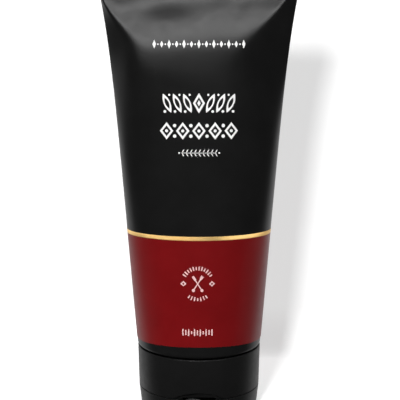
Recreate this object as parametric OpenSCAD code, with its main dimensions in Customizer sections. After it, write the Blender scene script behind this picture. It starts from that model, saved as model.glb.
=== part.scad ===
// Shaving cream tube that stands on its flip-top cap.
// Millimetres, +Z up, -Y is the printed front. The origin is the middle of the
// lid's flat face, which the tube stands on. The thread is right-handed.

/* [Tube] */
// Outer radius of the sleeve's round end
tube_r = 25.1; // [24.9:0.05:25.3]
// Length of the sleeve between the cap and the crimp
sleeve_l = 143.5; // [120:0.5:170]
// Height of the crimp, where the end is pressed flat and welded
crimp_h = 7.5; // [5:0.5:10]
// Thickness of the sleeve's wall
sleeve_wall = 0.5; // [0.4:0.05:0.6]
// Radius that rounds the sleeve in towards the cap
shoulder_round = 1.5; // [1.2:0.1:1.8]

/* [Print] */
// Distance from the cap to the lower edge of the red wrap
red_start = 4.2; // [3:0.1:6]
// Distance from the cap to the middle of the gold line
gold_at = 47.3; // [35:0.1:60]
// Height of the gold line
gold_h = 1.8; // [1:0.1:3]

/* [Cap] */
// Height of the lid, up to the parting line
lid_h = 10; // [9:0.1:11]
// Height of the fixed half of the cap, from the parting line to the tube
skirt_h = 16.4; // [16:0.1:18]
// Outer radius of the cap at the tube
cap_r = 25; // [24.8:0.05:25]
// Outer radius of the cap at the parting line
parting_r = 24.6; // [24.5:0.05:24.6]
// Outer radius of the lid just above its rounded foot
foot_r = 23.5; // [23:0.1:23.8]
// Width of the thumb recess
recess_w = 21; // [16:0.5:24]
// Height of the thumb recess
recess_h = 3; // [2:0.1:3.5]

/* [Neck] */
// Outer radius of the neck below its thread
neck_r = 8.9; // [8.5:0.1:9]
// Distance that the thread climbs in one turn
pitch = 3.2; // [3:0.1:3.6]
// Radius of the hole that the cream comes out of
orifice_r = 2.6; // [2.6:0.1:3]

/* [Hidden] */

// Steps round a soft ring, and round an exact curve
soft_steps = 72;
round_steps = 120;
overlap = 0.2;

// Gaps between pieces that move past each other
parting_gap = 0.25;
seam_gap = 0.35;

// Cap
cap_wall = 1.3;
base_z = lid_h + parting_gap / 2;
lid_top = lid_h - parting_gap / 2;
seam_z = lid_h + skirt_h;
foot_round = 1.8;
lid_floor = 1.4;
lid_inner_r = parting_r - 1.35;
deck_z = base_z + 0.7;
deck_h = 1.5;
deck_top = deck_z + deck_h;
snap_rim_h = 1;
spout_r = 4;
spout_drop = 3.2;
collar_r = 10;
collar_wall = 1.3;
collar_top = 22;
rib_t = 1;
cap_rib_top = 20;
lid_rib_top = 3;
guard_r = spout_r + 0.5;
guard_wall = 0.9;
guard_top = 5.5;
plug_r = orifice_r - 0.25;
plug_top = lid_h + 0.2;
recess_y = 22.6;
recess_wall = 1.5;
tab_w = 15;
tab_h = 1.5;
edge = 0.3;

// Hinge at the back. The film lies on the pads' outer faces and the lid turns
// about the film's outer face.
film_w = 11;
film_t = 0.3;
film_h = 2.6;
pad_w = 12;
pad_t = 1.4;
pad_face_y = 24.6;
pad_rise = 2.9;
pad_slope = 1.6;
pocket_gap = 0.3;
strap_w = 2.6;
strap_h = 6;
strap_t = 0.45;
strap_turn = 20;

// Neck and head
mouth_z = 12.8;
neck_bore_r = 6.9;
seal_t = 0.15;
thread_z = 14.2;
thread_turns = 1.75;
collar_turns = 1.5;
thread_crest_r = neck_r + 0.8;
collar_crest_r = neck_r + 0.25;
ridge_foot = 1.5;
ridge_crest = 0.7;
ridge_gap = 0.04;
head_t = 1.7;
head_rim_h = 2.1;
rim_slack = 0.06;
rim_taper = 0.36;
neck_root_z = 24.2;

// Sleeve
flat_half_w = tube_r * PI / 2;
girth = 2 * PI * tube_r;
crimp_half_t = 0.55;
sleeve_foot = seam_z + seam_gap;
round_z = sleeve_foot + shoulder_round;
crimp_z = seam_z + sleeve_l;
cream_gap = 0.4;
cream_top = 100;
band_proud = 0.1;
band_float = 0.06;

// Half width of the sleeve at a share u of its length: a straight taper that
// flares out into the crimp
function half_w(u) = tube_r + (flat_half_w - tube_r) * (0.82 * u + 0.18 * pow(u, 7));

// Length round an ellipse with half axes a and b
function ellipse_girth(a, b) =
    let (h = pow((a - b) / (a + b), 2))
    PI * (a + b) * (1 + 3 * h / (10 + sqrt(4 - 3 * h)));

// Half depth of the sleeve where its half width is a. The wall doesn't stretch,
// so its girth stays that of the round end, and halving finds the depth.
function half_d(a, low = crimp_half_t, high = tube_r, left = 14) =
    let (b = (low + high) / 2)
    left == 0 ? b
        : ellipse_girth(a, b) > girth ? half_d(a, low, b, left - 1)
        : half_d(a, b, high, left - 1);

// A closed ring of points at height z. A squareness of 2 gives an ellipse and
// more gives a rounded rectangle.
function ring(z, a, b, squareness = 2, steps = soft_steps) = [
    for (k = [0:steps - 1])
        let (c = cos(360 * k / steps), s = sin(360 * k / steps))
        [a * sign(c) * pow(abs(c), 2 / squareness), b * sign(s) * pow(abs(s), 2 / squareness), z]
];

// The sleeve's section at a share u of its length, moved inwards by inset
function sleeve_ring(u, inset = 0, steps = soft_steps) =
    let (a = half_w(u))
    ring(seam_z + u * sleeve_l, a - inset, half_d(a) - inset, 2, steps);

// Rings round the sleeve's lower corner, at distance inset under its surface
function corner_rings(inset = 0, turns = 4) = [
    for (k = [0:turns])
        let (r = shoulder_round - inset, swing = 90 * k / turns)
        let (mid_r = half_w(0) - shoulder_round)
        ring(round_z - r * cos(swing), mid_r + r * sin(swing), mid_r + r * sin(swing))
];

function reversed(list) = [for (k = [len(list) - 1:-1:0]) list[k]];

// A closed skin through a stack of rings, with a flat face at each end
module skin(rings) {
    n = len(rings[0]);
    last = len(rings) - 1;
    sides = [
        for (i = [0:last - 1], k = [0:n - 1])
            let (p = i * n + k, q = i * n + (k + 1) % n)
            each [[p, p + n, q + n], [p, q + n, q]]
    ];
    ends = [[for (k = [0:n - 1]) k], [for (k = [n - 1:-1:0]) last * n + k]];
    polyhedron([for (r = rings) each r], concat(sides, ends), convexity = 6);
}

// A closed skin through rings whose last ring joins the first one
module hoop(rings) {
    n = len(rings[0]);
    count = len(rings);
    faces = [
        for (i = [0:count - 1], k = [0:n - 1])
            let (j = (i + 1) % count, m = (k + 1) % n)
            each [[i * n + k, j * n + k, j * n + m], [i * n + k, j * n + m, i * n + m]]
    ];
    polyhedron([for (r = rings) each r], faces, convexity = 6);
}

// A helical ridge from radius foot_r to radius crest_r, fading in and out
module thread_ridge(foot_r, crest_r, start_z, turns) {
    step = 10;
    steps = round(turns * 360 / step);
    fade_steps = 5;
    sections = [
        for (i = [0:steps])
            let (fade = min(1, max(0.1, i / fade_steps)), fade_out = max(0.1, (steps - i) / fade_steps))
            let (top_r = foot_r + (crest_r - foot_r) * min(fade, fade_out))
            let (z = start_z + pitch * i * step / 360)
            let (foot = [foot_r, ridge_foot / 2], crest = [top_r, ridge_crest / 2])
            let (near = crest_r > foot_r ? foot : crest, far = crest_r > foot_r ? crest : foot)
            [
                for (p = [[near[0], -near[1]], near, far, [far[0], -far[1]]])
                    [p[0] * cos(i * step), p[0] * sin(i * step), z + p[1]]
            ]
    ];
    skin(sections);
}

// A ring with a plain square section
module tube_ring(inner_r, outer_r, z0, z1) {
    rotate_extrude($fn = round_steps)
        translate([inner_r, z0])
            square([outer_r - inner_r, z1 - z0]);
}

// Flat ribs that stand out like spokes from the axis
module spokes(count, first_turn, r0, r1, z0, z1) {
    for (k = [0:count - 1])
        rotate([0, 0, first_turn + 360 * k / count])
            translate([r0, -rib_t / 2, z0])
                cube([r1 - r0, rib_t, z1 - z0]);
}

// Pad at the back that carries one end of the hinge film
module hinge_pad(z0) {
    translate([-pad_w / 2, 0, z0])
        rotate([90, 0, 90])
            linear_extrude(pad_w)
                polygon([
                    [pad_face_y - pad_t, 0], [pad_face_y, 0],
                    [pad_face_y, pad_rise], [pad_face_y - pad_t, pad_rise + pad_slope]
                ]);
}

// Shallow pockets beside the hinge film, where the spring straps lie
module strap_pockets() {
    for (turn = [-strap_turn, strap_turn])
        rotate([0, 0, turn])
            translate([-strap_w / 2 - pocket_gap, parting_r - 0.75, lid_h - strap_h / 2 - pocket_gap])
                cube([strap_w + 2 * pocket_gap, 2, strap_h + 2 * pocket_gap]);
}

// Scoop above the lid's front edge, an arch of the stated width and height
module thumb_scoop() {
    arch_r = (pow(recess_w / 2, 2) + pow(recess_h, 2)) / (2 * recess_h);
    translate([0, -recess_y, base_z + recess_h - arch_r])
        rotate([90, 0, 0])
            cylinder(h = 5, r = arch_r, $fn = round_steps);
}

module cap_skirt() {
    inner_top_r = cap_r - cap_wall;
    inner_low_r = parting_r - cap_wall;
    rotate_extrude($fn = round_steps)
        polygon([
            [inner_low_r, base_z], [parting_r - edge, base_z], [parting_r, base_z + edge],
            [cap_r, seam_z - edge], [cap_r - edge, seam_z], [inner_top_r, seam_z]
        ]);
}

// Block that the thumb scoop is cut into, so that it has a back and a ceiling
module scoop_block() {
    intersection() {
        tube_ring(18, parting_r - 0.5, base_z, base_z + recess_h + recess_wall);
        translate([-recess_w / 2 - 1, -parting_r, base_z])
            cube([recess_w + 2, parting_r - recess_y + recess_wall, recess_h + recess_wall]);
    }
}

module cap_base() {
    color([0.07, 0.07, 0.07]) {
        difference() {
            union() {
                cap_skirt();
                tube_ring(0, parting_r - cap_wall + overlap, deck_z, deck_top);
                tube_ring(lid_inner_r - 1.25, lid_inner_r - 0.25, base_z - snap_rim_h, deck_z + overlap);
                tube_ring(0, spout_r, deck_z - spout_drop, deck_z + overlap);
                tube_ring(collar_r, collar_r + collar_wall, deck_top - overlap, collar_top);
                spokes(6, 0, collar_r + collar_wall / 2, parting_r - 1, deck_top - overlap, cap_rib_top);
                scoop_block();
                hinge_pad(base_z);
            }
            translate([0, 0, deck_z - spout_drop - 1])
                cylinder(h = spout_drop + deck_h + 2, r = orifice_r, $fn = round_steps);
            thumb_scoop();
            strap_pockets();
        }
        // The thread is a solid of its own that stands a hair off the collar
        thread_ridge(collar_r - ridge_gap, collar_crest_r, thread_z + pitch / 2, collar_turns);
    }
}

module lid_shell() {
    mid_r = foot_r - foot_round;
    foot = [for (a = [-90:15:0]) [mid_r + foot_round * cos(a), foot_round * (1 + sin(a))]];
    rotate_extrude($fn = round_steps)
        polygon(concat(
            [[0, lid_floor], [0, 0]],
            foot,
            [[parting_r, lid_top - edge], [parting_r - edge, lid_top], [lid_inner_r, lid_top]],
            [[foot_r - 1.3, lid_floor + 0.8], [foot_r - 2.1, lid_floor]]
        ));
}

module plug() {
    rotate_extrude($fn = round_steps)
        polygon([
            [0, lid_floor - overlap], [plug_r + 0.8, lid_floor - overlap], [plug_r, lid_floor + 1.4],
            [plug_r, plug_top - 0.8], [plug_r - 0.8, plug_top], [0, plug_top]
        ]);
}

// Small lip that a thumb catches to flip the lid
module thumb_tab() {
    intersection() {
        tube_ring(foot_r, parting_r + 0.35, lid_top - tab_h, lid_top);
        translate([-tab_w / 2, -parting_r - 1, lid_top - tab_h])
            cube([tab_w, 3, tab_h]);
    }
}

module cap_lid() {
    color([0.07, 0.07, 0.07])
        difference() {
            union() {
                lid_shell();
                plug();
                tube_ring(guard_r, guard_r + guard_wall, lid_floor - overlap, guard_top);
                spokes(4, 45, guard_r + guard_wall / 2, foot_r - 3, lid_floor - overlap, lid_rib_top);
                thumb_tab();
                translate([0, 0, lid_top])
                    mirror([0, 0, 1])
                        hinge_pad(0);
            }
            strap_pockets();
        }
}

module hinge_film() {
    color([0.09, 0.09, 0.09])
        translate([-film_w / 2, pad_face_y, lid_h - film_h / 2])
            cube([film_w, film_t, film_h]);
}

module snap_straps() {
    color([0.09, 0.09, 0.09])
        for (turn = [-strap_turn, strap_turn])
            rotate([0, 0, turn])
                translate([-strap_w / 2, parting_r - 0.7, lid_h - strap_h / 2])
                    cube([strap_w, strap_t, strap_h]);
}

module neck_seal() {
    color("silver")
        translate([0, 0, mouth_z - seal_t])
            cylinder(h = seal_t, r = neck_r - 0.2, $fn = round_steps);
}

module head_shell() {
    rim_r = tube_r - sleeve_wall - rim_slack;
    corner_r = shoulder_round - sleeve_wall - rim_slack;
    rim_top_z = round_z + head_rim_h;
    corner = [
        for (a = [-75:15:0]) [rim_r - corner_r + corner_r * cos(a), round_z + corner_r * sin(a)]
    ];
    lip_r = tube_r - shoulder_round - 0.05;
    rotate_extrude($fn = round_steps)
        polygon(concat(
            [[neck_bore_r, mouth_z], [neck_r, mouth_z]],
            [[neck_r, neck_root_z - 0.6], [neck_r + 0.8, neck_root_z]],
            [[lip_r, sleeve_foot], [lip_r, sleeve_foot + 0.6]],
            corner,
            [[rim_r - rim_taper, rim_top_z], [rim_r - 1.3, rim_top_z]],
            [[rim_r - 1.6, sleeve_foot + head_t + 0.2], [neck_r + 0.8, neck_root_z + head_t]],
            [[neck_bore_r, neck_root_z + 0.6]]
        ));
}

module tube_head() {
    color([0.1, 0.1, 0.1]) {
        head_shell();
        // The thread is a solid of its own that stands a hair off the neck
        thread_ridge(neck_r + ridge_gap, thread_crest_r, thread_z, thread_turns);
    }
}

module tube_sleeve() {
    u0 = (round_z - seam_z) / sleeve_l;
    rows = 24;
    shares = [for (k = [1:rows]) u0 + (1 - u0) * k / rows];
    inner_shares = [for (u = shares) if (u < 0.985) u];
    outer = concat(
        corner_rings(),
        [for (u = shares) sleeve_ring(u)],
        [for (rise = [1, crimp_h]) ring(crimp_z + rise, flat_half_w, crimp_half_t, 8)]
    );
    inner = concat(
        corner_rings(sleeve_wall),
        [for (u = inner_shares) sleeve_ring(u, sleeve_wall)],
        [ring(crimp_z - 0.5, flat_half_w - 1.5, 0.1)]
    );
    color([0.09, 0.09, 0.09])
        skin(concat(reversed(inner), outer));
}

// A thin printed hoop round the sleeve between two distances from the cap
module print_hoop(from, to, rows) {
    shares = [for (k = [0:rows]) (from + (to - from) * k / rows) / sleeve_l];
    hoop(concat(
        [for (u = shares) sleeve_ring(u, -band_float - band_proud)],
        [for (u = reversed(shares)) sleeve_ring(u, -band_float)]
    ));
}

module red_band() {
    color([0.4, 0.06, 0.07])
        print_hoop(red_start, gold_at - gold_h / 2, 6);
}

module gold_band() {
    color([0.85, 0.6, 0.3])
        print_hoop(gold_at - gold_h / 2, gold_at + gold_h / 2, 1);
}

module shaving_cream() {
    steps = 48;
    core_r = neck_bore_r - 0.3;
    inset = sleeve_wall + cream_gap;
    body_start = round_z + head_rim_h + 1 - seam_z;
    rows = 12;
    heights = [for (k = [0:rows]) body_start + (cream_top - body_start) * k / rows];
    color([0.95, 0.95, 0.92])
        skin(concat(
            [for (z = [mouth_z + cream_gap, neck_root_z + 0.6]) ring(z, core_r, core_r, 2, steps)],
            [ring(neck_root_z + head_t + 1, neck_r, neck_r, 2, steps)],
            [ring(round_z + 1.3, tube_r - 2.6, tube_r - 2.6, 2, steps)],
            [ring(round_z + head_rim_h + 0.4, tube_r - 2.4, tube_r - 2.4, 2, steps)],
            [for (t = heights) sleeve_ring(t / sleeve_l, inset, steps)]
        ));
}

cap_base();
cap_lid();
hinge_film();
snap_straps();
neck_seal();
tube_head();
tube_sleeve();
red_band();
gold_band();
shaving_cream();
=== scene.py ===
import math
import random

import bmesh
import bpy
import numpy as np
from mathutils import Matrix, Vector


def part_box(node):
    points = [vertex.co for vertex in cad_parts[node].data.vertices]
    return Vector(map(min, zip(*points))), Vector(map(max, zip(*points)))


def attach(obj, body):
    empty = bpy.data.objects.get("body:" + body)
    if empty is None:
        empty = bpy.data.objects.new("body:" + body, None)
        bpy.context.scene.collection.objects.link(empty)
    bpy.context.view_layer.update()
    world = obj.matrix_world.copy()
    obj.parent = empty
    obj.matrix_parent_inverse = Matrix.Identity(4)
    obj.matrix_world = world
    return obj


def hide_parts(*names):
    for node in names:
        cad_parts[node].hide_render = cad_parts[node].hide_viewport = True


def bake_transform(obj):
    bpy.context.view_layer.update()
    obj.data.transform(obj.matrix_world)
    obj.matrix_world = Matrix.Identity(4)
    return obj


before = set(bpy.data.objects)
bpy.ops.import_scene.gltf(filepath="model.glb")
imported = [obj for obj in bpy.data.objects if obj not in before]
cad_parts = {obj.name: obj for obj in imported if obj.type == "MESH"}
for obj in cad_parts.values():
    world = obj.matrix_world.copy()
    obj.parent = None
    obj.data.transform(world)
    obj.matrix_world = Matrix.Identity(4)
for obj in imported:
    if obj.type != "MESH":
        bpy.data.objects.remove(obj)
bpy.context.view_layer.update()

# The object's lengths are in millimetres until mesh_piece() turns them into metres.
# The stage, the lights and the camera are in metres throughout.
# +Z is up the tube, -Y is the printed front, and the origin is the middle of the foot.
MM = 0.001


def box_mm(node):
    """A CAD node's lowest and highest corners, in millimetres."""
    low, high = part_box(node)
    return np.array(low) / MM, np.array(high) / MM


sleeve_low, sleeve_high = box_mm("tube_sleeve")
gold_low, gold_high = box_mm("gold_band")
film_low, film_high = box_mm("hinge_film")
base_low, base_high = box_mm("cap_base")
_, lid_high = box_mm("cap_lid")

# Sleeve. The seam is where it meets the cap, and ROUND is the points in one of its rings.
TUBE_R = sleeve_high[1]
CRIMP_HALF_W = sleeve_high[0]
SEAM_Z = base_high[2]
FOOT_Z = sleeve_low[2]
TOP_Z = sleeve_high[2]
CRIMP_H = 7.5
CRIMP_Z = TOP_Z - CRIMP_H
SLEEVE_L = CRIMP_Z - SEAM_Z
CRIMP_HALF_T = 0.55
SLEEVE_WALL = 0.5
FOOT_ROUND = 1.5
GIRTH = 2 * math.pi * TUBE_R
ROUND = 256

# Print. The red wrap starts RED_START over the seam at the sides, and RED_RISE higher in
# front and behind. A layer stands off the sleeve by its lift, and its back is sunk into it.
GOLD_LOW = gold_low[2]
GOLD_HIGH = gold_high[2]
RED_START = 3.6
RED_RISE = 1.6
INK_LIFT = 0.045
RED_LIFT = 0.05
GOLD_LIFT = 0.085
SUNK = 0.03

# Cap. The lid's wall ends at LID_TOP and the fixed half's skirt starts at BASE_Z, on either
# side of PARTING_Z, where both have the radius PARTING_R. The spout hangs below BASE_Z.
CAP_R = base_high[0]
PARTING_R = lid_high[1]
PARTING_Z = 10.0
LID_TOP = PARTING_Z - 0.125
BASE_Z = base_low[2] + 2.5
SPOUT_Z = 7.625
DECK_Z = 10.825
DECK_TOP = 12.325
STRAP_TURN = 20
STRAP_HALF_W = 1.3
STRAP_HALF_H = 3.0


def smoothstep(low, high, x):
    t = np.clip((np.asarray(x, float) - low) / (high - low), 0, 1)
    return t * t * (3 - 2 * t)


def hump(x, rise_from, rise_to, fall_from, fall_to):
    """A smooth step up to 1 and down again."""
    return smoothstep(rise_from, rise_to, x) * (1 - smoothstep(fall_from, fall_to, x))


def bell(x, middle, width):
    """1 in the middle, and down to a third at a distance of width."""
    return np.exp(-((x - middle) / width) ** 2)


def softmin(a, b, softness):
    """The lower of a and b, with the corner between them rounded off."""
    return -softness * np.logaddexp(-a / softness, -b / softness)


# ---------------------------------------------------------------- sleeve's shape

def half_width(u):
    """The sleeve's half width at a share u of its length, as the CAD has it."""
    return TUBE_R + (CRIMP_HALF_W - TUBE_R) * (0.82 * u + 0.18 * np.power(u, 7))


def section_shape(xi, u):
    """Depth of the section, as a share of its middle depth, at xi = x / half width.

    It is an ellipse low down. Towards the crimp a flat panel forms between two
    folds, which sharpen as they run out into the crimp's corners."""
    ellipse = np.sqrt(np.clip(1 - xi * xi, 0, 1))
    left_fold = 0.73 + 0.26 * smoothstep(0.82, 0.985, u)
    right_fold = 0.54 + 0.41 * smoothstep(0.8, 1.02, u)
    fold = np.where(xi < 0, left_fold, right_fold)
    softness = 0.26 - 0.19 * smoothstep(0.74, 0.95, u)
    folded = softmin(np.ones_like(xi), (1 - np.abs(xi)) / (1 - fold), softness)
    amount = smoothstep(0.5, 0.86, u)
    return (1 - amount) * ellipse + amount * folded


def depth_table(count=480):
    """Middle half depth at count shares, which keeps the girth of the round end."""
    xi = np.cos(np.linspace(0, math.pi, 721))
    shares = np.linspace(0, 1, count)
    depths = []
    for u in shares:
        a = half_width(u)
        shape = section_shape(xi, u)
        low, high = CRIMP_HALF_T, TUBE_R * 1.02
        for _ in range(26):
            depth = (low + high) / 2
            length = 2 * np.hypot(np.diff(a * xi), np.diff(depth * shape)).sum()
            low, high = (low, depth) if length > GIRTH else (depth, high)
        depths.append(depth)
    return shares, np.array(depths)


TABLE_U, TABLE_DEPTH = depth_table()

# Each wave's frequencies along x and z in radians per mm, its two phases, and its size
wave_dice = random.Random(7)
WAVES = [
    (
        wave_dice.uniform(0.05, 0.16), wave_dice.uniform(0.02, 0.07),
        wave_dice.uniform(0, 6.28), wave_dice.uniform(0, 6.28), wave_dice.uniform(0.5, 1),
    )
    for _ in range(9)
]
WAVE_DEPTH = 0.05


def unevenness(x, z, side):
    """Slow dents and swells of a filled soft tube, in millimetres inwards.

    The front panel also has dents of its own where it nears the crimp."""
    total = 0
    for k, (fx, fz, px, pz, size) in enumerate(WAVES):
        total = total + size * np.sin(fx * x + px + side * k) * np.sin(fz * z + pz - side * k)
    u = (z - SEAM_Z) / SLEEVE_L
    swell = WAVE_DEPTH * total * hump(u, 0.02, 0.2, 0.93, 1.0)
    valley = bell(x, -13, 12) * hump(u, 0.9, 0.974, 0.974, 1.0)
    shoulder = bell(x, 7, 8) * hump(u, 0.84, 0.93, 0.93, 0.99)
    drape = bell(x, -19, 11) * bell(u, 0.775, 0.05)
    crease = bell(x, 13 + 60 * (u - 0.9), 3.2) * hump(u, 0.86, 0.95, 0.95, 1.0)
    dimple = bell(x, -23, 6) * hump(u, 0.8, 0.89, 0.89, 0.96)
    twist = -x / 25 * hump(u, 0.76, 0.92, 0.93, 1.0)
    front = valley - 0.3 * shoulder - 0.3 * drape + 0.2 * crease + 0.2 * dimple + 0.7 * twist
    return swell + np.where(side < 0, front, 0.3 * valley)


def depth_at(x, z, side):
    """How far the sleeve stands out from the middle plane at x and z.

    side is -1 for the front and 1 for the back."""
    x = np.asarray(x, float)
    u = np.clip((z - SEAM_Z) / SLEEVE_L, 0, 1)
    xi = np.clip(x / half_width(u), -1, 1)
    depth = np.interp(u, TABLE_U, TABLE_DEPTH)
    edge_fade = 1 - smoothstep(0.8, 1.0, np.abs(xi))
    return depth * section_shape(xi, u) - unevenness(x, z, side) * edge_fade


def sleeve_ring(z, grow=0.0):
    """A closed ring of ROUND points of the sleeve, moved out by grow.

    z is the ring's height, or one height for each of its points."""
    z = np.full(ROUND, z) if np.ndim(z) == 0 else z
    theta = np.linspace(0, 2 * math.pi, ROUND, endpoint=False)
    u = np.clip((z - SEAM_Z) / SLEEVE_L, 0, 1)
    a, b = half_width(u), np.interp(u, TABLE_U, TABLE_DEPTH)
    c, s = np.cos(theta), np.sin(theta)
    side = np.where(s < 0, -1, 1)
    y = side * depth_at(a * c, z, side)
    normal = np.stack([c / a, s / b], 1)
    normal /= np.linalg.norm(normal, axis=1, keepdims=True)
    return np.stack([a * c + grow * normal[:, 0], y + grow * normal[:, 1], z], 1)


def on_sleeve(x, z, lift, side=-1):
    """Points of the sleeve's front, or back, at x and z, lifted off along the normal."""
    x, z = np.asarray(x, float), np.asarray(z, float)
    step = 0.2
    y = side * depth_at(x, z, side)
    slope_x = side * (depth_at(x + step, z, side) - depth_at(x - step, z, side)) / (2 * step)
    slope_z = side * (depth_at(x, z + step, side) - depth_at(x, z - step, side)) / (2 * step)
    normal = np.stack([-side * slope_x, np.full(x.shape, float(side)), -side * slope_z], -1)
    normal /= np.linalg.norm(normal, axis=-1, keepdims=True)
    return np.stack([x, y, z], -1) + lift * normal


# ---------------------------------------------------------------- mesh helpers

def mesh_piece(name, points, faces, material, sharp_deg=35):
    """A smooth-shaded mesh object from points in millimetres."""
    mesh = bpy.data.meshes.new(name)
    faces = [list(map(int, f)) for f in faces]
    mesh.from_pydata((np.asarray(points, float) * MM).tolist(), [], faces)
    bm = bmesh.new()
    bm.from_mesh(mesh)
    bmesh.ops.remove_doubles(bm, verts=bm.verts, dist=1e-7)
    bmesh.ops.recalc_face_normals(bm, faces=bm.faces)
    bm.to_mesh(mesh)
    bm.free()
    mesh.materials.append(material)
    piece = bpy.data.objects.new(name, mesh)
    bpy.context.scene.collection.objects.link(piece)
    smooth(piece, sharp_deg)
    return piece


def smooth(piece, sharp_deg=35):
    """Smooth shading, with a hard edge where faces meet at more than sharp_deg."""
    for polygon in piece.data.polygons:
        polygon.use_smooth = True
    piece.data.set_sharp_from_angle(angle=math.radians(sharp_deg))


class Parts:
    """Points and faces of several closed solids that make up one piece."""

    def __init__(self):
        self.points, self.faces = [], []

    def add(self, points, faces):
        start = len(self.points)
        self.points.extend(np.asarray(points, float).tolist())
        self.faces.extend([[start + int(i) for i in f] for f in faces])


def ring_faces(count, n, closed=False):
    """Quads between count rings of n points each. closed joins the last ring to the first."""
    faces = []
    for i in range(count if closed else count - 1):
        j = (i + 1) % count
        for k in range(n):
            m = (k + 1) % n
            faces.append([i * n + k, i * n + m, j * n + m, j * n + k])
    return faces


def paired_cap(start, n):
    """Quads that close a flat symmetric ring by pairing its two halves."""
    faces = []
    for k in range(n // 2):
        a, b = k, k + 1
        c, d = (n - k - 1) % n, (n - k) % n
        quad = [start + a, start + b, start + c, start + d]
        face = list(dict.fromkeys(quad))
        if len(face) > 2:
            faces.append(face)
    return faces


def end_faces(count, n):
    """One face over each end of count rings of n points."""
    return [list(range(n))[::-1], [(count - 1) * n + k for k in range(n)]]


def rod(rings):
    """A closed skin through rings, with one face on each end."""
    count, n = len(rings), len(rings[0])
    return np.concatenate(rings), ring_faces(count, n) + end_faces(count, n)


def flat_ring(x, near, far, z):
    """A ring at height z that runs along x with y = near and comes back with y = far."""
    there, back = (np.stack(np.broadcast_arrays(x, y, z), 1) for y in (near, far))
    return np.concatenate([there, back[::-1]])


def slab(rings):
    """A closed skin through flat rings, with a strip of quads on each end."""
    count, n = len(rings), len(rings[0])
    faces = ring_faces(count, n)
    for start in (0, (count - 1) * n):
        for k in range(n // 2 - 1):
            quad = (k, k + 1, n - k - 2, n - k - 1)
            faces.append([start + corner for corner in quad])
    return np.concatenate(rings), faces


def shell(rings):
    """A closed skin through rings, with a paired cap on both ends."""
    n = len(rings[0])
    points = np.concatenate(rings)
    faces = ring_faces(len(rings), n)
    faces += paired_cap(0, n) + paired_cap((len(rings) - 1) * n, n)
    return points, faces


def hoop(rings):
    """A closed skin through rings whose last ring joins the first."""
    return np.concatenate(rings), ring_faces(len(rings), len(rings[0]), closed=True)


def rounded(corners, steps=4):
    """Fillets a profile. Each corner is (r, z, fillet's radius)."""
    out = []
    places = np.array(corners, float)[:, :2]
    for i, (_, _, radius) in enumerate(corners):
        p = places[i]
        before, after = places[i - 1] - p, places[(i + 1) % len(places)] - p
        if radius <= 0:
            out.append(p)
            continue
        la, lb = np.linalg.norm(before), np.linalg.norm(after)
        before, after = before / la, after / lb
        half = math.acos(np.clip(before @ after, -1, 1)) / 2
        reach = min(radius / math.tan(half), 0.49 * la, 0.49 * lb)
        radius = reach * math.tan(half)
        middle = p + (before + after) / np.linalg.norm(before + after) * radius / math.sin(half)
        first, last = p + before * reach, p + after * reach
        for k in range(steps + 1):
            q = first + (last - first) * k / steps - middle
            out.append(middle + q / np.linalg.norm(q) * radius)
    return out


def circle(r, z, count):
    """A ring of count points round the tube's axis."""
    turns = np.linspace(0, 2 * math.pi, count, endpoint=False)
    return np.stack([r * np.cos(turns), r * np.sin(turns), np.full(count, z)], 1)


def lathe(profile, steps=192):
    """A closed solid of revolution from a closed profile of (r, z) points off the axis."""
    return hoop([circle(r, z, steps) for r, z in profile])


def spindle(rings, first, last):
    """A closed skin through rings, with a fan to a single point at each end."""
    count, n = len(rings), len(rings[0])
    faces, end = ring_faces(count, n), (count - 1) * n
    for k in range(n):
        m = (k + 1) % n
        faces += [[count * n, m, k], [count * n + 1, end + k, end + m]]
    return np.concatenate([*rings, [first, last]]), faces


def lathe_disc(profile, steps=192):
    """As lathe, but an open profile whose first and last points are on the axis."""
    rings = [circle(r, z, steps) for r, z in profile[1:-1]]
    return spindle(rings, [0, 0, profile[0][1]], [0, 0, profile[-1][1]])


def extrude(outline, axis, low, high):
    """A prism of a 2D outline along axis "x" or "z", from low to high."""
    n = len(outline)
    points = []
    for level in (low, high):
        for p, q in outline:
            points.append([level, p, q] if axis == "x" else [p, q, level])
    return points, ring_faces(2, n) + end_faces(2, n)


def turned(points, degrees):
    """Points turned about the tube's axis."""
    c, s = math.cos(math.radians(degrees)), math.sin(math.radians(degrees))
    x, y, z = np.asarray(points, float).T
    return np.stack([x * c - y * s, x * s + y * c, z], 1)


def helix_ridge(foot_r, crest_r, start_z, turns):
    """A helical thread ridge from foot_r to crest_r that fades in and out."""
    pitch, foot, crest = 3.2, 1.5, 0.7
    per_turn, fade_steps, lowest = 72, 14, 0.08
    steps = int(turns * per_turn)
    waist, top_half = (foot + crest) / 4, 0.4 * crest
    rings = []
    for i in range(steps + 1):
        fade = min(1, max(lowest, min(i, steps - i) / fade_steps))
        top = foot_r + (crest_r - foot_r) * fade
        middle = (foot_r + top) / 2
        turn = 2 * math.pi * i / per_turn
        z = start_z + pitch * i / per_turn
        section = (
            (foot_r, -foot / 2), (foot_r, foot / 2), (middle, waist),
            (top, top_half), (top, -top_half), (middle, -waist),
        )
        rings.append([[r * math.cos(turn), r * math.sin(turn), z + dz] for r, dz in section])
    return rod(rings)


# ---------------------------------------------------------------- materials

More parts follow.
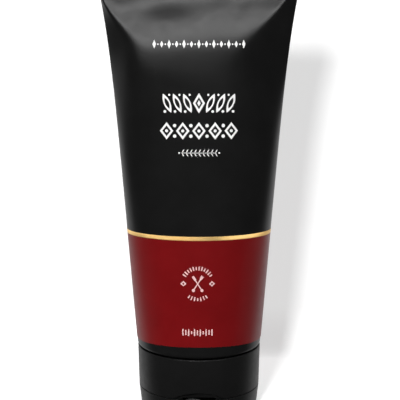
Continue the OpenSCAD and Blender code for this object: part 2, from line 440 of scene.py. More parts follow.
class Nodes:
    """Short calls for building the node tree of a material, or of a world."""

    def __init__(self, name, kind="Material"):
        makers = {"Material": bpy.data.materials, "World": bpy.data.worlds}
        self.made = makers[kind].new(name)
        self.made.use_nodes = True
        self.tree = self.made.node_tree
        self.tree.nodes.clear()
        self.out = self.tree.nodes.new("ShaderNodeOutput" + kind)
        self.coords = self.tree.nodes.new("ShaderNodeTexCoord").outputs
        self.place = self.coords["Object"]

    def add(self, kind, inputs=None, **settings):
        node = self.tree.nodes.new(kind)
        for key, value in settings.items():
            setattr(node, key, value)
        for key, value in (inputs or {}).items():
            socket = node.inputs[key]
            if isinstance(value, bpy.types.NodeSocket):
                self.tree.links.new(value, socket)
            else:
                socket.default_value = value
        return node

    def noise(self, scale, detail=3, roughness=0.5, at=None):
        inputs = {"Vector": at or self.place, "Scale": scale}
        inputs.update({"Detail": detail, "Roughness": roughness})
        return self.add("ShaderNodeTexNoise", inputs).outputs["Fac"]

    def stretched(self, x, y, z):
        inputs = {"Vector": self.place, "Scale": (x, y, z)}
        return self.add("ShaderNodeMapping", inputs).outputs["Vector"]

    def cells(self, scale):
        inputs = {"Vector": self.place, "Scale": scale}
        return self.add("ShaderNodeTexVoronoi", inputs).outputs["Distance"]

    def math(self, operation, *values):
        return self.add("ShaderNodeMath", dict(enumerate(values)), operation=operation).outputs[0]

    def colours(self, value, first, last, low=0.3, high=0.7):
        """A ramp from the first colour to the last as value goes from low to high."""
        node = self.add("ShaderNodeValToRGB", {"Fac": value})
        stops = ((low, first), (high, last))
        for element, (position, colour) in zip(node.color_ramp.elements, stops):
            element.position = position
            element.color = (*colour, 1)
        return node.outputs["Color"]

    def levels(self, value, low, high, from_low=0.3, from_high=0.7, curve="LINEAR"):
        """low to high as value goes from from_low to from_high."""
        inputs = {"Value": value, "From Min": from_low, "From Max": from_high}
        inputs.update({"To Min": low, "To Max": high})
        return self.add("ShaderNodeMapRange", inputs, interpolation_type=curve).outputs["Result"]

    def bump(self, height, strength, distance, normal=None):
        inputs = {"Height": height, "Strength": strength, "Distance": distance}
        if normal is not None:
            inputs["Normal"] = normal
        return self.add("ShaderNodeBump", inputs).outputs["Normal"]

    def extruded(self, lines, peel):
        """The normal of extruded film: faint draw lines along Z under fine orange peel."""
        draw = self.noise(1, 3, 0.6, at=self.stretched(1400, 1400, 25))
        normal = self.bump(draw, lines, 0.00003)
        return self.bump(self.noise(1500, 2), peel, 0.00003, normal)

    def glow(self, strength):
        inputs = {"Color": (1, 1, 1, 1), "Strength": strength}
        return self.add("ShaderNodeEmission", inputs).outputs["Emission"]

    def mix(self, share, first, second):
        return self.add("ShaderNodeMixShader", {0: share, 1: first, 2: second}).outputs[0]

    def surface(self, shader):
        """Sets the finished shader, and gives back the material or world."""
        self.tree.links.new(shader, self.out.inputs["Surface"])
        return self.made

    def principled(self, **sockets):
        names = {key.replace("_", " "): value for key, value in sockets.items()}
        return self.surface(self.add("ShaderNodeBsdfPrincipled", names).outputs["BSDF"])


def grey(level):
    return (level, level, level)


def satin(name, dark, light, rough_low, rough_high):
    """Varnished extruded polyethylene."""
    n = Nodes(name)
    colour = n.colours(n.noise(90, 4), dark, light, 0.35, 0.65)
    roughness = n.levels(n.noise(260, 4, 0.6), rough_low, rough_high)
    return n.principled(Base_Color=colour, Roughness=roughness, Normal=n.extruded(0.12, 0.16))


def moulded(name, dark, light, rough_low, rough_high, grain=2600):
    """Injection-moulded polypropylene with a fine eroded grain."""
    n = Nodes(name)
    colour = n.colours(n.noise(140, 5, 0.6), dark, light)
    roughness = n.levels(n.noise(420, 4, 0.6), rough_low, rough_high)
    normal = n.bump(n.noise(grain, 3, 0.65), 0.22, 0.00004)
    normal = n.bump(n.cells(0.7 * grain), 0.12, 0.00004, normal)
    return n.principled(Base_Color=colour, Roughness=roughness, Normal=normal)


def hinge_plastic():
    """The cap's polypropylene, whitened a little where it has been folded."""
    n = Nodes("hinge_plastic")
    height = n.add("ShaderNodeSeparateXYZ", {"Vector": n.place}).outputs["Z"]
    away = n.math("ABSOLUTE", n.math("SUBTRACT", height, PARTING_Z * MM))
    crease = n.levels(away, 1.0, 0.0, 0.0, 0.0005)
    marks = n.math("MULTIPLY", crease, n.noise(900, 4, 0.7))
    colour = n.colours(marks, grey(0.010), (0.075, 0.075, 0.078), 0.0, 0.7)
    roughness = n.levels(n.noise(420, 3), 0.36, 0.5)
    normal = n.bump(n.noise(2600, 3), 0.2, 0.00004)
    return n.principled(Base_Color=colour, Roughness=roughness, Normal=normal)


def red_lacquer():
    """Dark red ink under the sleeve's varnish."""
    n = Nodes("red_lacquer")
    tint = n.noise(110, 4, 0.55)
    colour = n.colours(tint, (0.136, 0.0022, 0.0032), (0.156, 0.0030, 0.0042))
    roughness = n.levels(n.noise(300, 4, 0.6), 0.34, 0.42)
    return n.principled(Base_Color=colour, Roughness=roughness, Normal=n.extruded(0.1, 0.14))


def gold_foil():
    """Hot-stamped foil, brushed along the line."""
    n = Nodes("gold_foil")
    colour = n.colours(n.noise(70, 5, 0.6), (0.95, 0.56, 0.19), (1.0, 0.70, 0.28))
    roughness = n.levels(n.noise(1, 4, 0.6, at=n.stretched(300, 300, 2500)), 0.3, 0.44)
    normal = n.bump(n.noise(1800, 3), 0.25, 0.00003)
    return n.principled(Base_Color=colour, Roughness=roughness, Normal=normal, Metallic=1.0)


def ink(name, thin, thick):
    """Screen-printed ink, a little uneven. thin and thick are its two shades."""
    n = Nodes(name)
    colour = n.colours(n.noise(900, 4, 0.6), thin, thick)
    roughness = n.levels(n.noise(500, 3), 0.42, 0.55)
    normal = n.bump(n.noise(3000, 3), 0.2, 0.00002)
    return n.principled(Base_Color=colour, Roughness=roughness, Normal=normal)


def foil_seal():
    """Crinkled aluminium foil."""
    n = Nodes("foil_seal")
    colour = n.colours(n.noise(300, 4), (0.78, 0.78, 0.8), (0.88, 0.88, 0.9))
    roughness = n.levels(n.noise(500, 3), 0.22, 0.38)
    normal = n.bump(n.cells(700), 0.5, 0.0001)
    return n.principled(Base_Color=colour, Roughness=roughness, Normal=normal, Metallic=1.0)


def cream_foam():
    n = Nodes("cream_foam")
    colour = n.colours(n.noise(120, 4), (0.86, 0.86, 0.83), (0.93, 0.93, 0.91))
    roughness = n.levels(n.noise(200, 3), 0.45, 0.65)
    normal = n.bump(n.noise(500, 5, 0.6), 0.4, 0.0003)
    return n.principled(Base_Color=colour, Roughness=roughness, Normal=normal)


SLEEVE = satin("sleeve_satin", grey(0.0048), grey(0.0062), 0.28, 0.34)
CRIMP = satin("crimp_satin", grey(0.0052), grey(0.0068), 0.32, 0.42)
CAP = moulded("cap_plastic", grey(0.0052), grey(0.0066), 0.36, 0.46)
HEAD = moulded("head_plastic", grey(0.016), grey(0.024), 0.42, 0.55, 1800)
HINGE = hinge_plastic()
RED = red_lacquer()
GOLD = gold_foil()
WHITE = ink("white_ink", (0.76, 0.76, 0.75), (0.84, 0.84, 0.83))
BLUSH = ink("blush_ink", (0.67, 0.42, 0.42), (0.75, 0.51, 0.5))
FOIL = foil_seal()
CREAM = cream_foam()


# ---------------------------------------------------------------- tube

def make_sleeve():
    """The extruded sleeve, a shell with a rounded foot that ends inside the crimp."""
    start = FOOT_Z + FOOT_ROUND

    def foot(inset):
        """The foot's rounded edge, inset from the outer skin."""
        radius = FOOT_ROUND - inset
        swings = [math.radians(90 * k / 8) for k in range(9)]
        middle = TUBE_R - FOOT_ROUND
        return [
            circle(middle + radius * math.sin(t), start - radius * math.cos(t), ROUND)
            for t in swings
        ]

    inner = np.linspace(start, CRIMP_Z - 4, 60)[:0:-1]
    rings = [sleeve_ring(z, -SLEEVE_WALL) for z in inner] + foot(SLEEVE_WALL)[::-1] + foot(0)

    # the sections are a little wider than the foot, so its girth fades into them
    drift = TUBE_R - half_width((start - SEAM_Z) / SLEEVE_L)
    for z in np.linspace(start, CRIMP_Z, 176)[1:]:
        ring = sleeve_ring(z)
        fade = 1 - float(smoothstep(start, start + 6, z))
        rings.append(ring + circle(fade * drift, 0, ROUND) * [1, 0, 0])
    # the open end is pinched into the crimp
    rings += [sleeve_ring(CRIMP_Z + tuck) * [0.995, 0.8, 1] for tuck in (0.6, 1.2)]

    points, faces = shell(rings)
    piece = mesh_piece("sleeve_skin", points, faces, SLEEVE, 60)
    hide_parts("tube_sleeve")
    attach(piece, "tube")


def make_crimp():
    """The welded end, pressed between knurled jaws that leave fine upright ridges."""
    pitch, ridge = 1.05, 0.09
    columns = int(round(2 * CRIMP_HALF_W / pitch)) * 8
    x = np.linspace(-CRIMP_HALF_W, CRIMP_HALF_W, columns + 1)
    tooth = 0.5 - 0.5 * np.cos(2 * math.pi * (x + CRIMP_HALF_W) / pitch)
    ends = 1 - smoothstep(CRIMP_HALF_W - 0.5, CRIMP_HALF_W, np.abs(x))
    # height, half thickness, and how far the ridges stand out there
    levels = (
        (CRIMP_Z - 0.3, 0.50, 0.0), (CRIMP_Z + 0.1, 0.54, 0.0), (CRIMP_Z + 0.5, 0.50, 0.6),
        (CRIMP_Z + 0.8, 0.46, 1.0), (CRIMP_Z + 3.0, 0.46, 1.0), (CRIMP_Z + 5.2, 0.46, 1.0),
        (CRIMP_Z + 5.7, 0.48, 0.5), (CRIMP_Z + 6.0, 0.52, 0.0), (TOP_Z - 0.15, 0.52, 0.0),
        (TOP_Z, 0.42, 0.0),
    )
    rings = []
    for z, half, knurl in levels:
        y = (half + ridge * knurl * tooth) * (0.35 + 0.65 * ends)
        sway = 0.12 * np.sin(x * 0.11 + 1.0) * float(smoothstep(CRIMP_Z, TOP_Z, z))
        rings.append(flat_ring(x, sway - y, sway + y, z))
    points, faces = slab(rings)
    piece = mesh_piece("crimp_weld", points, faces, CRIMP, 40)
    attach(piece, "tube")


def print_hoop(low, high, rows, lift):
    """A printed layer round the sleeve. low and high are its edges' heights round a ring."""
    rim = 0.6
    shares = np.linspace(0, 1, rows + 1)
    heights = [low + (high - low) * share for share in shares]
    lifts = [lift * rim] + [lift] * (rows - 1) + [lift * rim]
    rings = [sleeve_ring(z, grow) for z, grow in zip(heights, lifts)]
    rings += [sleeve_ring(z, -SUNK) for z in heights[::-1]]
    return hoop(rings)


def make_bands():
    """The red wrap, and the gold line, which is slimmer than its CAD solid."""
    theta = np.linspace(0, 2 * math.pi, ROUND, endpoint=False)
    red_foot = SEAM_Z + RED_START + RED_RISE * np.sin(theta) ** 2
    gold_foot = np.full(ROUND, GOLD_LOW + 0.06)
    gold_head = np.full(ROUND, GOLD_HIGH - 0.18)
    overlap = 0.2
    points, faces = print_hoop(red_foot, gold_foot + overlap, 56, RED_LIFT)
    piece = mesh_piece("red_wrap", points, faces, RED, 60)
    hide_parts("red_band")
    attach(piece, "tube")
    points, faces = print_hoop(gold_foot, gold_head, 8, GOLD_LIFT)
    piece = mesh_piece("gold_line", points, faces, GOLD, 60)
    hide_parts("gold_band")
    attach(piece, "tube")


def make_cream():
    """The filling: it follows the sleeve's inside and has a soft uneven top."""
    inset = SLEEVE_WALL + 0.4
    low, high = FOOT_Z + 5.2, 124.6
    # radius and height of the rings up the neck's bore and over the shoulder
    neck = ((6.4, 13.4), (6.6, 13.9), (6.6, 24.6), (8.6, 27.0), (21.8, 29.6), (22.6, 30.4))
    rings = [circle(r, z, ROUND)[::2] for r, z in neck]
    rings += [sleeve_ring(z, -inset)[::2] for z in np.linspace(low, high, 60)]
    widest = rings[-1]
    # share of the last ring's width, and rise over it, for the rings of the top
    for share, rise in ((0.97, 0.7), (0.9, 1.2), (0.7, 1.5), (0.45, 1.4), (0.2, 1.7)):
        ring = widest * [share, share, 1]
        wave = 0.25 * np.sin(ring[:, 0] * 0.5 + 1) * np.cos(ring[:, 1] * 0.6)
        ring[:, 2] = high + rise + wave
        rings.append(ring)
    points, faces = shell(rings)
    piece = mesh_piece("cream_fill", points, faces, CREAM, 60)
    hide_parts("shaving_cream")
    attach(piece, "tube")


# ---------------------------------------------------------------- ornaments

# An outline is a closed list of (x, z) points on the front or the back.

def resampled(outline, longest=0.6):
    """The outline with its sides cut up into lengths of no more than longest."""
    out = []
    for (x, z), (next_x, next_z) in zip(outline, outline[1:] + outline[:1]):
        cuts = max(1, math.ceil(math.dist((x, z), (next_x, next_z)) / longest))
        out += [(x + (next_x - x) * k / cuts, z + (next_z - z) * k / cuts) for k in range(cuts)]
    return out


def spun(outline, cx, cz, degrees):
    """The outline turned about the origin and moved to cx, cz."""
    c, s = math.cos(math.radians(degrees)), math.sin(math.radians(degrees))
    return [(cx + x * c - z * s, cz + x * s + z * c) for x, z in outline]


def disc(cx, cz, radius):
    count = max(12, int(radius * 14))
    turns = [2 * math.pi * k / count for k in range(count)]
    return [(cx + radius * math.cos(t), cz + radius * math.sin(t)) for t in turns]


def lozenge(cx, cz, width, height):
    w, h = width / 2, height / 2
    return [(cx + w, cz), (cx, cz + h), (cx - w, cz), (cx, cz - h)]


def leaf(cx, cz, length, width, degrees):
    """A leaf between two arcs whose long axis is turned from the x axis."""
    arc_r = (length ** 2 + width ** 2) / (4 * width)
    xs = np.linspace(length / 2, -length / 2, 13)
    top = [(x, math.sqrt(arc_r ** 2 - x * x) - (arc_r - width / 2)) for x in xs]
    return spun(top + [(x, -z) for x, z in top[-2:0:-1]], cx, cz, degrees)


def bar(cx, cz, width, height, degrees=0):
    """A bar with clipped corners."""
    w, h = width / 2, height / 2
    e = min(w, h) * 0.35
    corners = [
        (w, -h + e), (w, h - e), (w - e, h), (e - w, h),
        (-w, h - e), (-w, e - h), (e - w, -h), (w - e, -h),
    ]
    return spun(corners, cx, cz, degrees)


def stamp(parts, outline, hole=0.0, side=-1, lift=INK_LIFT):
    """Adds a thin patch of ink that follows the sleeve.

    hole is the share of the outline's size that stays open in its middle."""
    outline = np.array(resampled(outline))
    centre = outline.mean(0)
    spokes = outline - centre
    longest_row = 0.8
    rows = max(1, math.ceil(np.linalg.norm(spokes, axis=1).max() * (1 - hole) / longest_row))
    shares = hole + (1 - hole) * np.arange(0 if hole else 1, rows + 1) / rows
    flat = centre + shares[:, None, None] * spokes
    rings = [
        *on_sleeve(flat[..., 0], flat[..., 1], lift, side),
        *on_sleeve(flat[..., 0], flat[..., 1], -SUNK, side)[::-1],
    ]
    if hole:
        parts.add(*hoop(rings))
    else:
        middles = [on_sleeve(*centre, height, side) for height in (lift, -SUNK)]
        parts.add(*spindle(rings, *middles))


def top_row(parts, z):
    """Slender lozenges and dots where the maker's line would be."""
    pitch = 2.86
    for k in range(-6, 7):
        stamp(parts, lozenge(pitch * k, z, 1.35, 3.4 if k % 2 == 0 else 2.5))
        if k < 6:
            stamp(parts, disc(pitch * (k + 0.5), z, 0.32))


def leaf_row(parts, z):
    """A bold garland: leaves that lean towards an open lozenge, with berries."""
    stamp(parts, lozenge(0, z, 4.6, 7.7), hole=0.6)
    stamp(parts, lozenge(0, z, 1.3, 2.3))
    for side in (-1, 1):
        for k in range(3):
            x = side * (4.4 + 3.9 * k)
            stamp(parts, leaf(x, z, 7.9, 2.5, 90 - side * 24), hole=0.56)
            stamp(parts, disc(x + side * 0.85, z - 3.15, 0.52))
            stamp(parts, disc(x - side * 0.85, z + 3.15, 0.42))


def chain_row(parts, z):
    """A bold row of open lozenges and discs."""
    pitch = 6.2
    for k in range(-2, 3):
        stamp(parts, lozenge(pitch * k, z, 5.2, 6.6), hole=0.62)
        stamp(parts, disc(pitch * k, z, 0.6))
    for k in range(-2, 2):
        for rise in (2.0, -2.0):
            stamp(parts, disc(pitch * (k + 0.5), z + rise, 0.68))


def sprig_row(parts, z):
    """A light sprig: a stem with small leaves."""
    stamp(parts, bar(0, z, 13.4, 0.2))
    for k in range(-4, 5):
        x = 1.6 * k
        stamp(parts, leaf(x + 0.3, z + 0.75, 1.5, 0.38, 58))
        stamp(parts, leaf(x + 0.3, z - 0.75, 1.5, 0.38, -58))
    stamp(parts, disc(-7.6, z, 0.34))
    stamp(parts, disc(7.8, z, 0.34))


def badge(parts, z):
    """A round badge: two arcs of ticks round a crossed shaving brush and razor."""
    lift = INK_LIFT + RED_LIFT
    x0, radius = -0.5, 6.0
    for start, stop, count in ((32, 148, 12), (236, 304, 7)):
        for k in range(count):
            turn = start + (stop - start) * k / (count - 1)
            c, s = math.cos(math.radians(turn)), math.sin(math.radians(turn))
            height = 1.6 if k % 3 else 1.25
            tick = bar(x0 + radius * c, z + radius * s, 0.48, height, turn - 90)
            stamp(parts, tick, lift=lift)
    for side in (-1, 1):
        stamp(parts, lozenge(x0 + side * 5.5, z, 2.3, 2.2), hole=0.45, lift=lift)

    def along(lean, t):
        """The point t up a handle that leans by so many degrees."""
        return x0 + t * math.sin(math.radians(lean)), z + t * math.cos(math.radians(lean))

    for lean in (-33, 33):
        stamp(parts, bar(*along(lean, -0.7), 0.42, 4.6, -lean), lift=lift)
        stamp(parts, disc(*along(lean, -3.0), 0.62), lift=lift)
    for k in (-1, 0, 1):
        stamp(parts, leaf(*along(33 + 6 * k, 2.6), 2.3, 0.55, 57 - 13 * k), lift=lift)
    stamp(parts, bar(*along(-33, 2.5), 0.95, 2.0, 33), lift=lift)


def foot_row(parts, z):
    """Short upright bars near the red wrap's foot."""
    heights = (2.6, 1.9, 2.6, 1.2, 2.6, 1.9, 2.6, 1.2, 2.6, 1.9, 2.6)
    for k, height in enumerate(heights):
        stamp(parts, bar(-0.6 + 1.12 * (k - 5), z, 0.5, height), lift=INK_LIFT + RED_LIFT)


def back_panel(parts):
    """Plain lines in place of the back's small print, an ornament and an eye mark."""
    dice = random.Random(3)
    full, line_gap, paragraph_gap = 34.0, 1.75, 2.4
    z = 138.0
    for x in (-5.5, 0, 5.5):
        stamp(parts, lozenge(x, z, 3.4, 4.0), hole=0.5, side=1)
    z -= 7.5
    for lines in (3, 5, 4, 6):
        for k in range(lines):
            width = full if k < lines - 1 else dice.uniform(12, 26)
            stamp(parts, bar((full - width) / 2, z, width, 0.5), side=1)
            z -= line_gap
        z -= paragraph_gap
    stamp(parts, bar(29.0, CRIMP_Z - 4.5, 5.0, 2.4), side=1)


def make_print():
    """All the ornaments, in white on the black and in a pinkish white on the red."""
    on_black, on_red = Parts(), Parts()
    top_row(on_black, 147.6)
    leaf_row(on_black, 125.3)
    chain_row(on_black, 114.8)
    sprig_row(on_black, 106.4)
    back_panel(on_black)
    badge(on_red, 56.3)
    foot_row(on_red, 37.4)
    for name, parts, material in (
        ("white_print", on_black, WHITE),
        ("badge_print", on_red, BLUSH),
    ):
        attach(mesh_piece(name, parts.points, parts.faces, material, 60), "tube")


# ---------------------------------------------------------------- cap

def apply_modifiers(piece):
    bpy.context.view_layer.update()
    depsgraph = bpy.context.evaluated_depsgraph_get()
    mesh = bpy.data.meshes.new_from_object(piece.evaluated_get(depsgraph))
    piece.modifiers.clear()
    piece.data = mesh


def combine(piece, other, operation):
    """Adds other's solid to piece, or takes it away, exactly. other is removed."""
    modifier = piece.modifiers.new("combine", "BOOLEAN")
    modifier.operation = operation
    modifier.solver = "EXACT"
    modifier.object = other
    apply_modifiers(piece)
    bpy.data.objects.remove(other)


def ease_edges(piece, width):
    modifier = piece.modifiers.new("ease", "BEVEL")
    modifier.width = width * MM
    modifier.segments = 2
    modifier.limit_method = "ANGLE"
    modifier.angle_limit = math.radians(40)
    modifier.use_clamp_overlap = True
    apply_modifiers(piece)
    smooth(piece)


def join(piece, name, parts):
    """Adds parts to piece's mesh, with their edges eased."""
    other = mesh_piece(name, parts.points, parts.faces, CAP, 30)
    ease_edges(other, 0.12)
    bm = bmesh.new()
    bm.from_mesh(piece.data)
    bm.from_mesh(other.data)
    bm.to_mesh(piece.data)
    bm.free()
    bpy.data.objects.remove(other)
    smooth(piece)


def cut_strap_pockets(piece):
    """Cuts the two boxes that the CAD has for the snap straps."""
    gap = 0.3
    deep, out = PARTING_R - 0.75, PARTING_R + 1.25
    low, high = PARTING_Z - STRAP_HALF_H - gap, PARTING_Z + STRAP_HALF_H + gap
    half = STRAP_HALF_W + gap
    outline = [(deep, low), (out, low), (out, high), (deep, high)]
    points, faces = extrude(outline, "x", -half, half)
    for turn in (-STRAP_TURN, STRAP_TURN):
        cutter = mesh_piece("pocket_cutter", turned(points, turn), faces, CAP)
        combine(piece, cutter, "DIFFERENCE")


def add_hinge_pad(parts, start, up):
    """A pad with eased edges that carries an end of the hinge film.

    It starts at the height start, and goes up if up is 1 or down if it is -1."""
    face, back, ease = film_low[1], film_low[1] - 1.4, 0.18
    face_end, slope_end = start + up * 2.95, start + up * 4.5
    outline = [
        (back, start), (face - ease, start), (face, start + up * ease),
        (face, start + up * (2.9 - ease)), (face - ease, face_end), (back, slope_end),
    ]
    parts.add(*extrude(outline, "x", -6, 6))


def add_ribs(parts, turns, inner, outer, low, high):
    """Upright ribs between two radii, one at each of turns, in degrees."""
    half = 0.5
    outline = [(inner, -half), (outer, -half), (outer, half), (inner, half)]
    points, faces = extrude(outline, "z", low, high)
    for turn in turns:
        parts.add(turned(points, turn), faces)


def thumb_scoop():
    """An arch over the parting line that is dished inwards, to be cut out of the cap."""
    width, height, depth, lead = 21.0, 3.0, 3.6, 1.5
    radius = ((width / 2) ** 2 + height ** 2) / (2 * height)
    rings = []
    for k in range(9):
        share = k / 8
        y = -PARTING_R - lead + (depth + lead) * share
        ease = math.sqrt(max(0.0, 1 - max(0.0, share - 0.45) ** 2 / 0.55 ** 2 * 0.9))
        top = BASE_Z + height * (0.55 + 0.45 * ease)
        upright = circle(radius, y, 160)[:, [0, 2, 1]]
        rings.append(upright + [0, 0, top - radius])
    return rod(rings)


def scoop_block():
    """A solid block for the scoop to be cut from, along the inside of the skirt."""
    half, back, height = 11.5, -19.6, 4.5
    across = np.linspace(-half, half, 25)
    outline = [(x, -math.sqrt((PARTING_R - 0.5) ** 2 - x * x)) for x in across]
    return extrude(outline + [(half, back), (-half, back)], "z", BASE_Z, BASE_Z + height)


def make_cap_base():
    """The fixed half of the cap: skirt, deck, spout, threaded collar and ribs."""
    lip_z, groove_z, collar_top = BASE_Z - 1, DECK_Z - 0.02, 22.0
    # out from the spout over the lip inside the lid, up the skirt, back in round the collar
    profile = rounded([
        (2.6, SPOUT_Z, 0.3), (4.0, SPOUT_Z, 0.5), (4.0, DECK_Z, 0.4), (22.0, DECK_Z, 0.3),
        (22.0, lip_z, 0.2), (23.0, lip_z, 0.3), (23.0, groove_z, 0.05),
        (23.3, groove_z, 0.05), (23.3, BASE_Z, 0.12), (PARTING_R, BASE_Z, 0.28),
        (CAP_R, SEAM_Z, 0.32), (CAP_R - 1.3, SEAM_Z, 0.25), (PARTING_R - 1.3, DECK_TOP, 0.5),
        (11.3, DECK_TOP, 0.4), (11.3, collar_top, 0.3), (10.0, collar_top, 0.3),
        (10.0, DECK_TOP, 0.2), (2.6, DECK_TOP, 0.25),
    ])
    points, faces = lathe(profile)
    piece = mesh_piece("cap_body", points, faces, CAP, 30)
    combine(piece, mesh_piece("block", *scoop_block(), CAP), "UNION")
    combine(piece, mesh_piece("scoop_cutter", *thumb_scoop(), CAP), "DIFFERENCE")
    cut_strap_pockets(piece)
    ease_edges(piece, 0.14)

    parts = Parts()
    add_ribs(parts, range(0, 360, 60), 10.7, 23.5, DECK_TOP - 0.3, 20)
    parts.add(*helix_ridge(10.04, 9.15, 15.8, 1.5))
    add_hinge_pad(parts, BASE_Z, 1)
    join(piece, "cap_inner", parts)
    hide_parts("cap_base")
    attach(piece, "cap")


def make_cap_lid():
    """The flip lid: foot, wall, plug, guard ring, ribs, thumb tab and hinge pad."""
    floor = 1.4
    # out along the foot, up the outside of the wall and back in over the floor
    body = rounded([
        (0.01, 0.3, 0), (15.3, 0.3, 0.15), (15.7, 0.0, 0.2), (23.5, 0.0, 1.8),
        (PARTING_R, LID_TOP, 0.28), (PARTING_R - 1.35, LID_TOP, 0.25), (22.2, 2.2, 0.5),
        (21.4, floor, 0.4), (0.01, floor, 0),
    ], 6)
    off_axis = [tuple(p) for p in body if p[0] > 0.05]
    points, faces = lathe_disc([(0.0, 0.3)] + off_axis + [(0.0, floor)])
    piece = mesh_piece("lid_body", points, faces, CAP, 30)
    cut_strap_pockets(piece)
    ease_edges(piece, 0.12)

    parts = Parts()
    plug = [
        (0.0, 1.2), (3.15, 1.2), (3.15, 1.4), (2.6, 1.75), (2.35, 2.6), (2.35, 9.4),
        (2.2, 9.85), (1.75, 10.15), (0.9, 10.2), (0.0, 10.2),
    ]
    guard_ring = rounded([(4.5, 1.2, 0), (5.4, 1.2, 0), (5.4, 5.5, 0.25), (4.5, 5.5, 0.25)])
    parts.add(*lathe_disc(plug, 96))
    parts.add(*lathe(guard_ring, 96))
    add_ribs(parts, range(45, 360, 90), 5.0, 20.5, 1.2, 3.0)
    add_hinge_pad(parts, LID_TOP, -1)
    parts.add(*thumb_tab())
    join(piece, "lid_inner", parts)
    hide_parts("cap_lid")
    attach(piece, "lid")


def thumb_tab():
    """A bead on the lid's front edge, whose middle rises into the thumb scoop."""
    half, radius, half_h, around = 7.5, 0.55, 0.72, 14
    rings = []
    for x in np.linspace(-half, half, 49):
        swell = math.sqrt(max(0.02, 1 - (x / half) ** 4))
        rise = 0.95 * math.exp(-((x + 2.5) / 3.2) ** 4)
        middle = math.sqrt((PARTING_R - radius) ** 2 - x * x)
        base = LID_TOP - half_h + 0.6 * rise
        section = []
        for j in range(around):
            turn = 2 * math.pi * j / around
            out = radius * swell * math.cos(turn)
            height = (half_h + 0.4 * rise) * swell * math.sin(turn)
            section.append([x, -middle - out, base + height])
        rings.append(section)
    return rod(rings)


def make_hinge():
    """The film that joins the lid to the cap, thin at its crease."""
    x = np.linspace(film_low[0], film_high[0], 25)
    rings = []
    for z in np.linspace(film_high[2], film_low[2], 61):
        thin = bell(z, PARTING_Z, 0.35)
        inner = film_low[1] + 0.07 * thin
        outer = film_high[1] - 0.02 * thin
        ends = min(1.0, (film_high[2] - z) / 0.2 + 0.4, (z - film_low[2]) / 0.2 + 0.4)
        rings.append(flat_ring(x, inner, inner + (outer - inner) * ends, z))
    points, faces = slab(rings)
    piece = mesh_piece("hinge_web", points, faces, HINGE, 50)
    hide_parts("hinge_film")
    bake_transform(piece)


def make_straps():
    """The two spring straps that snap the lid open and shut."""
    rings = []
    for k in range(49):
        z = PARTING_Z + STRAP_HALF_H - 2 * STRAP_HALF_H * k / 48
        waist = STRAP_HALF_W - 0.3 * bell(z, PARTING_Z, 1.4)
        thick = 0.45 - 0.12 * bell(z, PARTING_Z, 0.8)
        narrow, ease = waist - 0.12, 0.1
        section = (
            (-waist, ease), (-narrow, 0), (0, 0), (narrow, 0), (waist, ease),
            (waist, thick - ease), (narrow, thick), (0, thick), (-narrow, thick),
            (-waist, thick - ease),
        )
        rings.append([[x, PARTING_R - 0.7 + y, z] for x, y in section])
    points, faces = rod(rings)
    parts = Parts()
    for turn in (-STRAP_TURN, STRAP_TURN):
        parts.add(turned(points, turn), faces)
    piece = mesh_piece("snap_webs", parts.points, parts.faces, HINGE, 50)
    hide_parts("snap_straps")
    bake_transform(piece)


def finish_kept_nodes():
    """The CAD nodes that stay as they are get their materials."""
    for node, material in (("tube_head", HEAD), ("neck_seal", FOIL)):
        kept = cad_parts[node]
        kept.data.materials.clear()
        kept.data.materials.append(material)


# ---------------------------------------------------------------- stage

def stage_material(name, floor, wall):
    """White paper, lit and glowing. floor and wall are (own light, diffuse) pairs.

    A sheet that faces up is like the floor, and one that stands is like the wall.
    Far out it fades to plain white. Its back is clear, so it never hides the object."""
    n = Nodes(name)
    geometry = n.add("ShaderNodeNewGeometry")
    upright = n.add("ShaderNodeSeparateXYZ", {0: geometry.outputs["Normal"]}).outputs["Z"]
    reach = n.add("ShaderNodeVectorMath", {0: geometry.outputs["Position"]}, operation="LENGTH")
    spread = n.levels(reach.outputs["Value"], 0.0, 1.0, 0.25, 0.7, "SMOOTHSTEP")
    looks = []
    for own_light, diffuse in (wall, floor):
        grain = n.colours(n.noise(30, 3), grey(0.99 * diffuse), grey(diffuse))
        matt = n.add("ShaderNodeBsdfDiffuse", {"Color": grain}).outputs["BSDF"]
        looks.append(n.add("ShaderNodeAddShader", {0: matt, 1: n.glow(own_light)}).outputs[0])
    near = n.mix(upright, *looks)
    paper = n.mix(spread, near, n.glow(1.0))
    clear = n.add("ShaderNodeBsdfTransparent").outputs["BSDF"]
    return n.surface(n.mix(geometry.outputs["Backfacing"], paper, clear))


FAR = 3.0
WALL_Y = 0.086
WALL_LEAN = 0.2
COVE_R = 0.024


def swept(name, outline, material):
    """A wide sheet whose cut along the middle plane is outline, a list of (y, z)."""
    points = [(x, y, z) for y, z in outline for x in (-FAR, FAR)]
    faces = [(2 * k, 2 * k + 1, 2 * k + 3, 2 * k + 2) for k in range(len(outline) - 1)]
    mesh = bpy.data.meshes.new(name)
    mesh.from_pydata(points, [], faces)
    mesh.materials.append(material)
    piece = bpy.data.objects.new(name, mesh)
    bpy.context.scene.collection.objects.link(piece)
    piece.visible_glossy = False
    piece.visible_diffuse = False
    return piece


def make_stage():
    """The floor, and a backdrop that leans back and has a cove at its foot."""
    paper = stage_material("white_paper", (0.53, 0.9), (0.71, 0.36))
    swept("floor", [(-FAR, 0), (FAR, 0)], paper)
    turns = np.linspace(0, math.atan2(1, WALL_LEAN), 25)
    outline = [(WALL_Y - COVE_R * (1 - math.sin(t)), COVE_R * (1 - math.cos(t))) for t in turns]
    foot_y, foot_z = outline[-1]
    outline.append((foot_y + (FAR - foot_z) * WALL_LEAN, FAR))
    wall = swept("backdrop", outline, paper)
    wall.visible_shadow = False


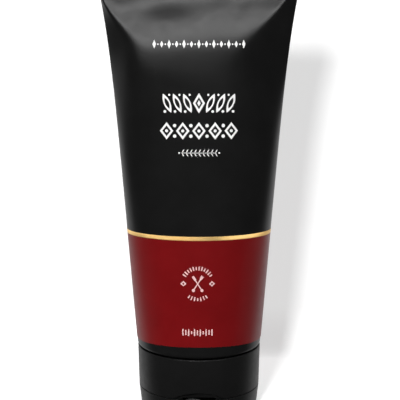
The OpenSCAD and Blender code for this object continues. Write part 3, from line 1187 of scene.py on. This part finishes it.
def make_world():
    """White to the camera. To the object it is bright behind and dark in front."""
    n = Nodes("studio", "World")
    behind = n.add("ShaderNodeSeparateXYZ", {"Vector": n.coords["Generated"]}).outputs["Y"]
    strength = n.levels(behind, 0.05, 0.64, 0.18, 0.62, "SMOOTHSTEP")
    around, seen = (
        n.add("ShaderNodeBackground", {"Color": (1, 1, 1, 1), "Strength": level}).outputs[0]
        for level in (strength, 1.0)
    )
    camera_ray = n.add("ShaderNodeLightPath").outputs["Is Camera Ray"]
    bpy.context.scene.world = n.surface(n.mix(camera_ray, around, seen))


def aim(thing, target):
    """Points a light or a camera at target."""
    thing.rotation_euler = (Vector(target) - thing.location).to_track_quat("-Z", "Y").to_euler()


def add_light(name, direction, distance, size, power, target_z, height=None):
    """An area light that faces the tube's axis at target_z, from a distance.

    It is a disc, or a rectangle if it is given a height."""
    data = bpy.data.lights.new(name, "AREA")
    data.shape = "RECTANGLE" if height else "DISK"
    data.size = size
    if height:
        data.size_y = height
    data.energy = power
    light = bpy.data.objects.new(name, data)
    bpy.context.scene.collection.objects.link(light)
    target = Vector((0, 0, target_z))
    light.location = target + Vector(direction).normalized() * distance
    light.visible_camera = False
    aim(light, target)
    return light


def make_lights():
    # the key casts the shadow on the backdrop, and the fill comes from behind
    for name, direction, size, power in (
        ("key", (-0.23, -1, 0.355), 0.17, 17.0),
        ("fill", (-0.35, 1, 0.2), 0.7, 7.0),
    ):
        light = add_light(name, direction, 1.2, size, power, 0.09)
        light.visible_glossy = False
    # soft boxes for the grey gloss on the panel under the crimp
    for name, direction, height, power in (
        ("overhead", (0.02, -1, 1.376), 0.17, 2.95),
        ("overhead_edge", (-0.12, -1, 0.93), 0.125, 0.4),
        ("overhead_low", (-0.26, -1, 0.56), 0.26, 0.32),
    ):
        softbox = add_light(name, direction, 0.8, 0.9, power, 0.15, height)
        softbox.visible_diffuse = False
    # lights for one piece alone: matt ones for its diffuse colour, the others for its gloss
    for name, direction, receiver, power, matt in (
        ("glint_left", (-0.545, -0.839, 0.02), "gold_line", 2.2, False),
        ("glint_side", (-0.96, 0.26, 0.02), "gold_line", 1.6, False),
        ("glint_right", (0.906, -0.423, 0.02), "gold_line", 2.8, False),
        ("rim_left", (-1, 0.75, 0.02), "red_wrap", 6.0, True),
        ("rim_right", (1, 0.75, 0.02), "red_wrap", 8.0, True),
        ("sheen_right", (0.3, 0.95, 0.02), "red_wrap", 1.0, False),
    ):
        light = add_light(name, direction, 0.8, 1.39, power, 0.07, 0.4)
        light.visible_diffuse = matt
        light.visible_glossy = not matt
        receivers = bpy.data.collections.new(name)
        receivers.objects.link(bpy.data.objects[receiver])
        light.light_linking.receiver_collection = receivers


def make_camera():
    """The photograph's view: a little from above, at a short distance."""
    data = bpy.data.cameras.new("camera")
    data.lens = 90
    data.sensor_width = 36
    camera = bpy.data.objects.new("camera", data)
    bpy.context.scene.collection.objects.link(camera)
    distance, pitch = 0.403, math.radians(8.6)
    target = Vector((0.0004, 0, (SEAM_Z + 59.2) * MM))
    camera.location = target + distance * Vector((0, -math.cos(pitch), math.sin(pitch)))
    aim(camera, target)
    bpy.context.scene.camera = camera


make_sleeve()
make_crimp()
make_bands()
make_cream()
make_print()
make_cap_base()
make_cap_lid()
make_hinge()
make_straps()
finish_kept_nodes()
make_stage()
make_world()
make_lights()
make_camera()
bpy.context.scene.view_settings.view_transform = "Standard"
